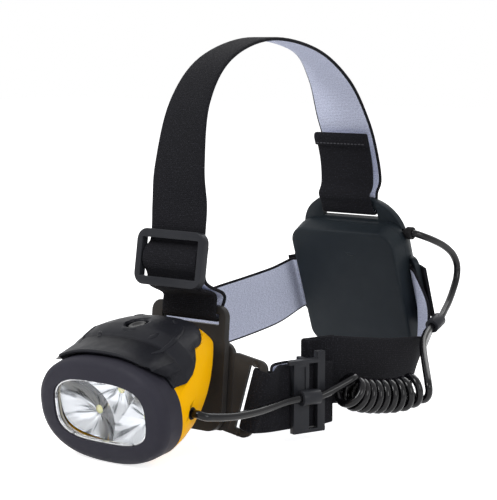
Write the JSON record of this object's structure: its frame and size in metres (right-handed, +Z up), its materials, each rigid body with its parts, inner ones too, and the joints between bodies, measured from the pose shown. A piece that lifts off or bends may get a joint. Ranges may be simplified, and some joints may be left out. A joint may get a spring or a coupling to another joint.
{
  "type": "miner's cap lamp",
  "caption": "Cap lamp with a tilting lamp head, webbing headband with a strap over the crown, battery box at the back and a part-coiled lead.",
  "frame": {"origin": "middle of the wearer's head opening", "axes": "-Y is the front that the lamp faces, +Z is up along the wearer's head, +X is the side that carries the lead, the wearer's left"},
  "size_m": [0.1247, 0.2159, 0.1732],
  "materials": {
    "soft_touch": "matt",
    "seal": "matt",
    "button": "gloss",
    "housing": "satin",
    "bracket": "satin",
    "slider": "satin",
    "box": "satin",
    "webbing": "woven",
    "foam": "matt",
    "lens": "clear",
    "reflector": "metallised",
    "board": "satin",
    "led": "gloss",
    "heat_sink": "satin",
    "steel": "satin",
    "nylon": "satin",
    "cell": "printed sleeve",
    "lead": "gloss"
  },
  "bodies": {
    "headband": {"tilt_bracket": "bracket", "hinge_pin": "steel", "hinge_washers": "nylon", "bracket_screws": "steel", "forehead_plate": "bracket", "forehead_pad": "foam", "top_slider": "slider", "top_strap": "webbing", "side_strap_near_front": "webbing", "side_strap_near_rear": "webbing", "side_strap_far": "webbing", "side_slider_near": "slider", "cord_clip": "slider", "battery_tray": "box", "cover_hinge_pin": "steel", "aa_cells": "cell", "contact_springs": "steel", "contact_plates": "steel", "battery_gland": "seal", "cord_front": "lead", "cord_coil": "lead", "cord_rear": "lead"},
    "lamp_head": {"bezel": "soft_touch", "lens": "lens", "lens_seal": "seal", "reflector": "reflector", "led_board": "board", "leds": "led", "heat_sink": "heat_sink", "lamp_housing": "housing", "top_cover": "soft_touch", "switch_body": "slider", "switch_board": "board", "lamp_screws": "steel", "cord_grommet": "seal", "cord_stub": "lead"},
    "button": {"power_button": "button"},
    "cover": {"battery_cover": "box"}
  },
  "joints": [
    {"name": "lamp_tilt", "type": "hinge", "parent": "headband", "child": "lamp_head", "pos_m": [0, -0.06586, -0.00669], "axis": [1, 0, 0], "range_deg": [-10, 25]},
    {"name": "power_switch", "type": "slide", "parent": "lamp_head", "child": "button", "axis": [0, -0.1374, 0.9905], "range_m": [-0.001, 0], "stiffness_N_per_m": 1500, "springref_m": 0.0003},
    {"name": "cover_hinge", "type": "hinge", "parent": "headband", "child": "cover", "pos_m": [0, 0.08302, -0.02747], "axis": [1, 0, 0], "range_deg": [0, 105]}
  ]
}
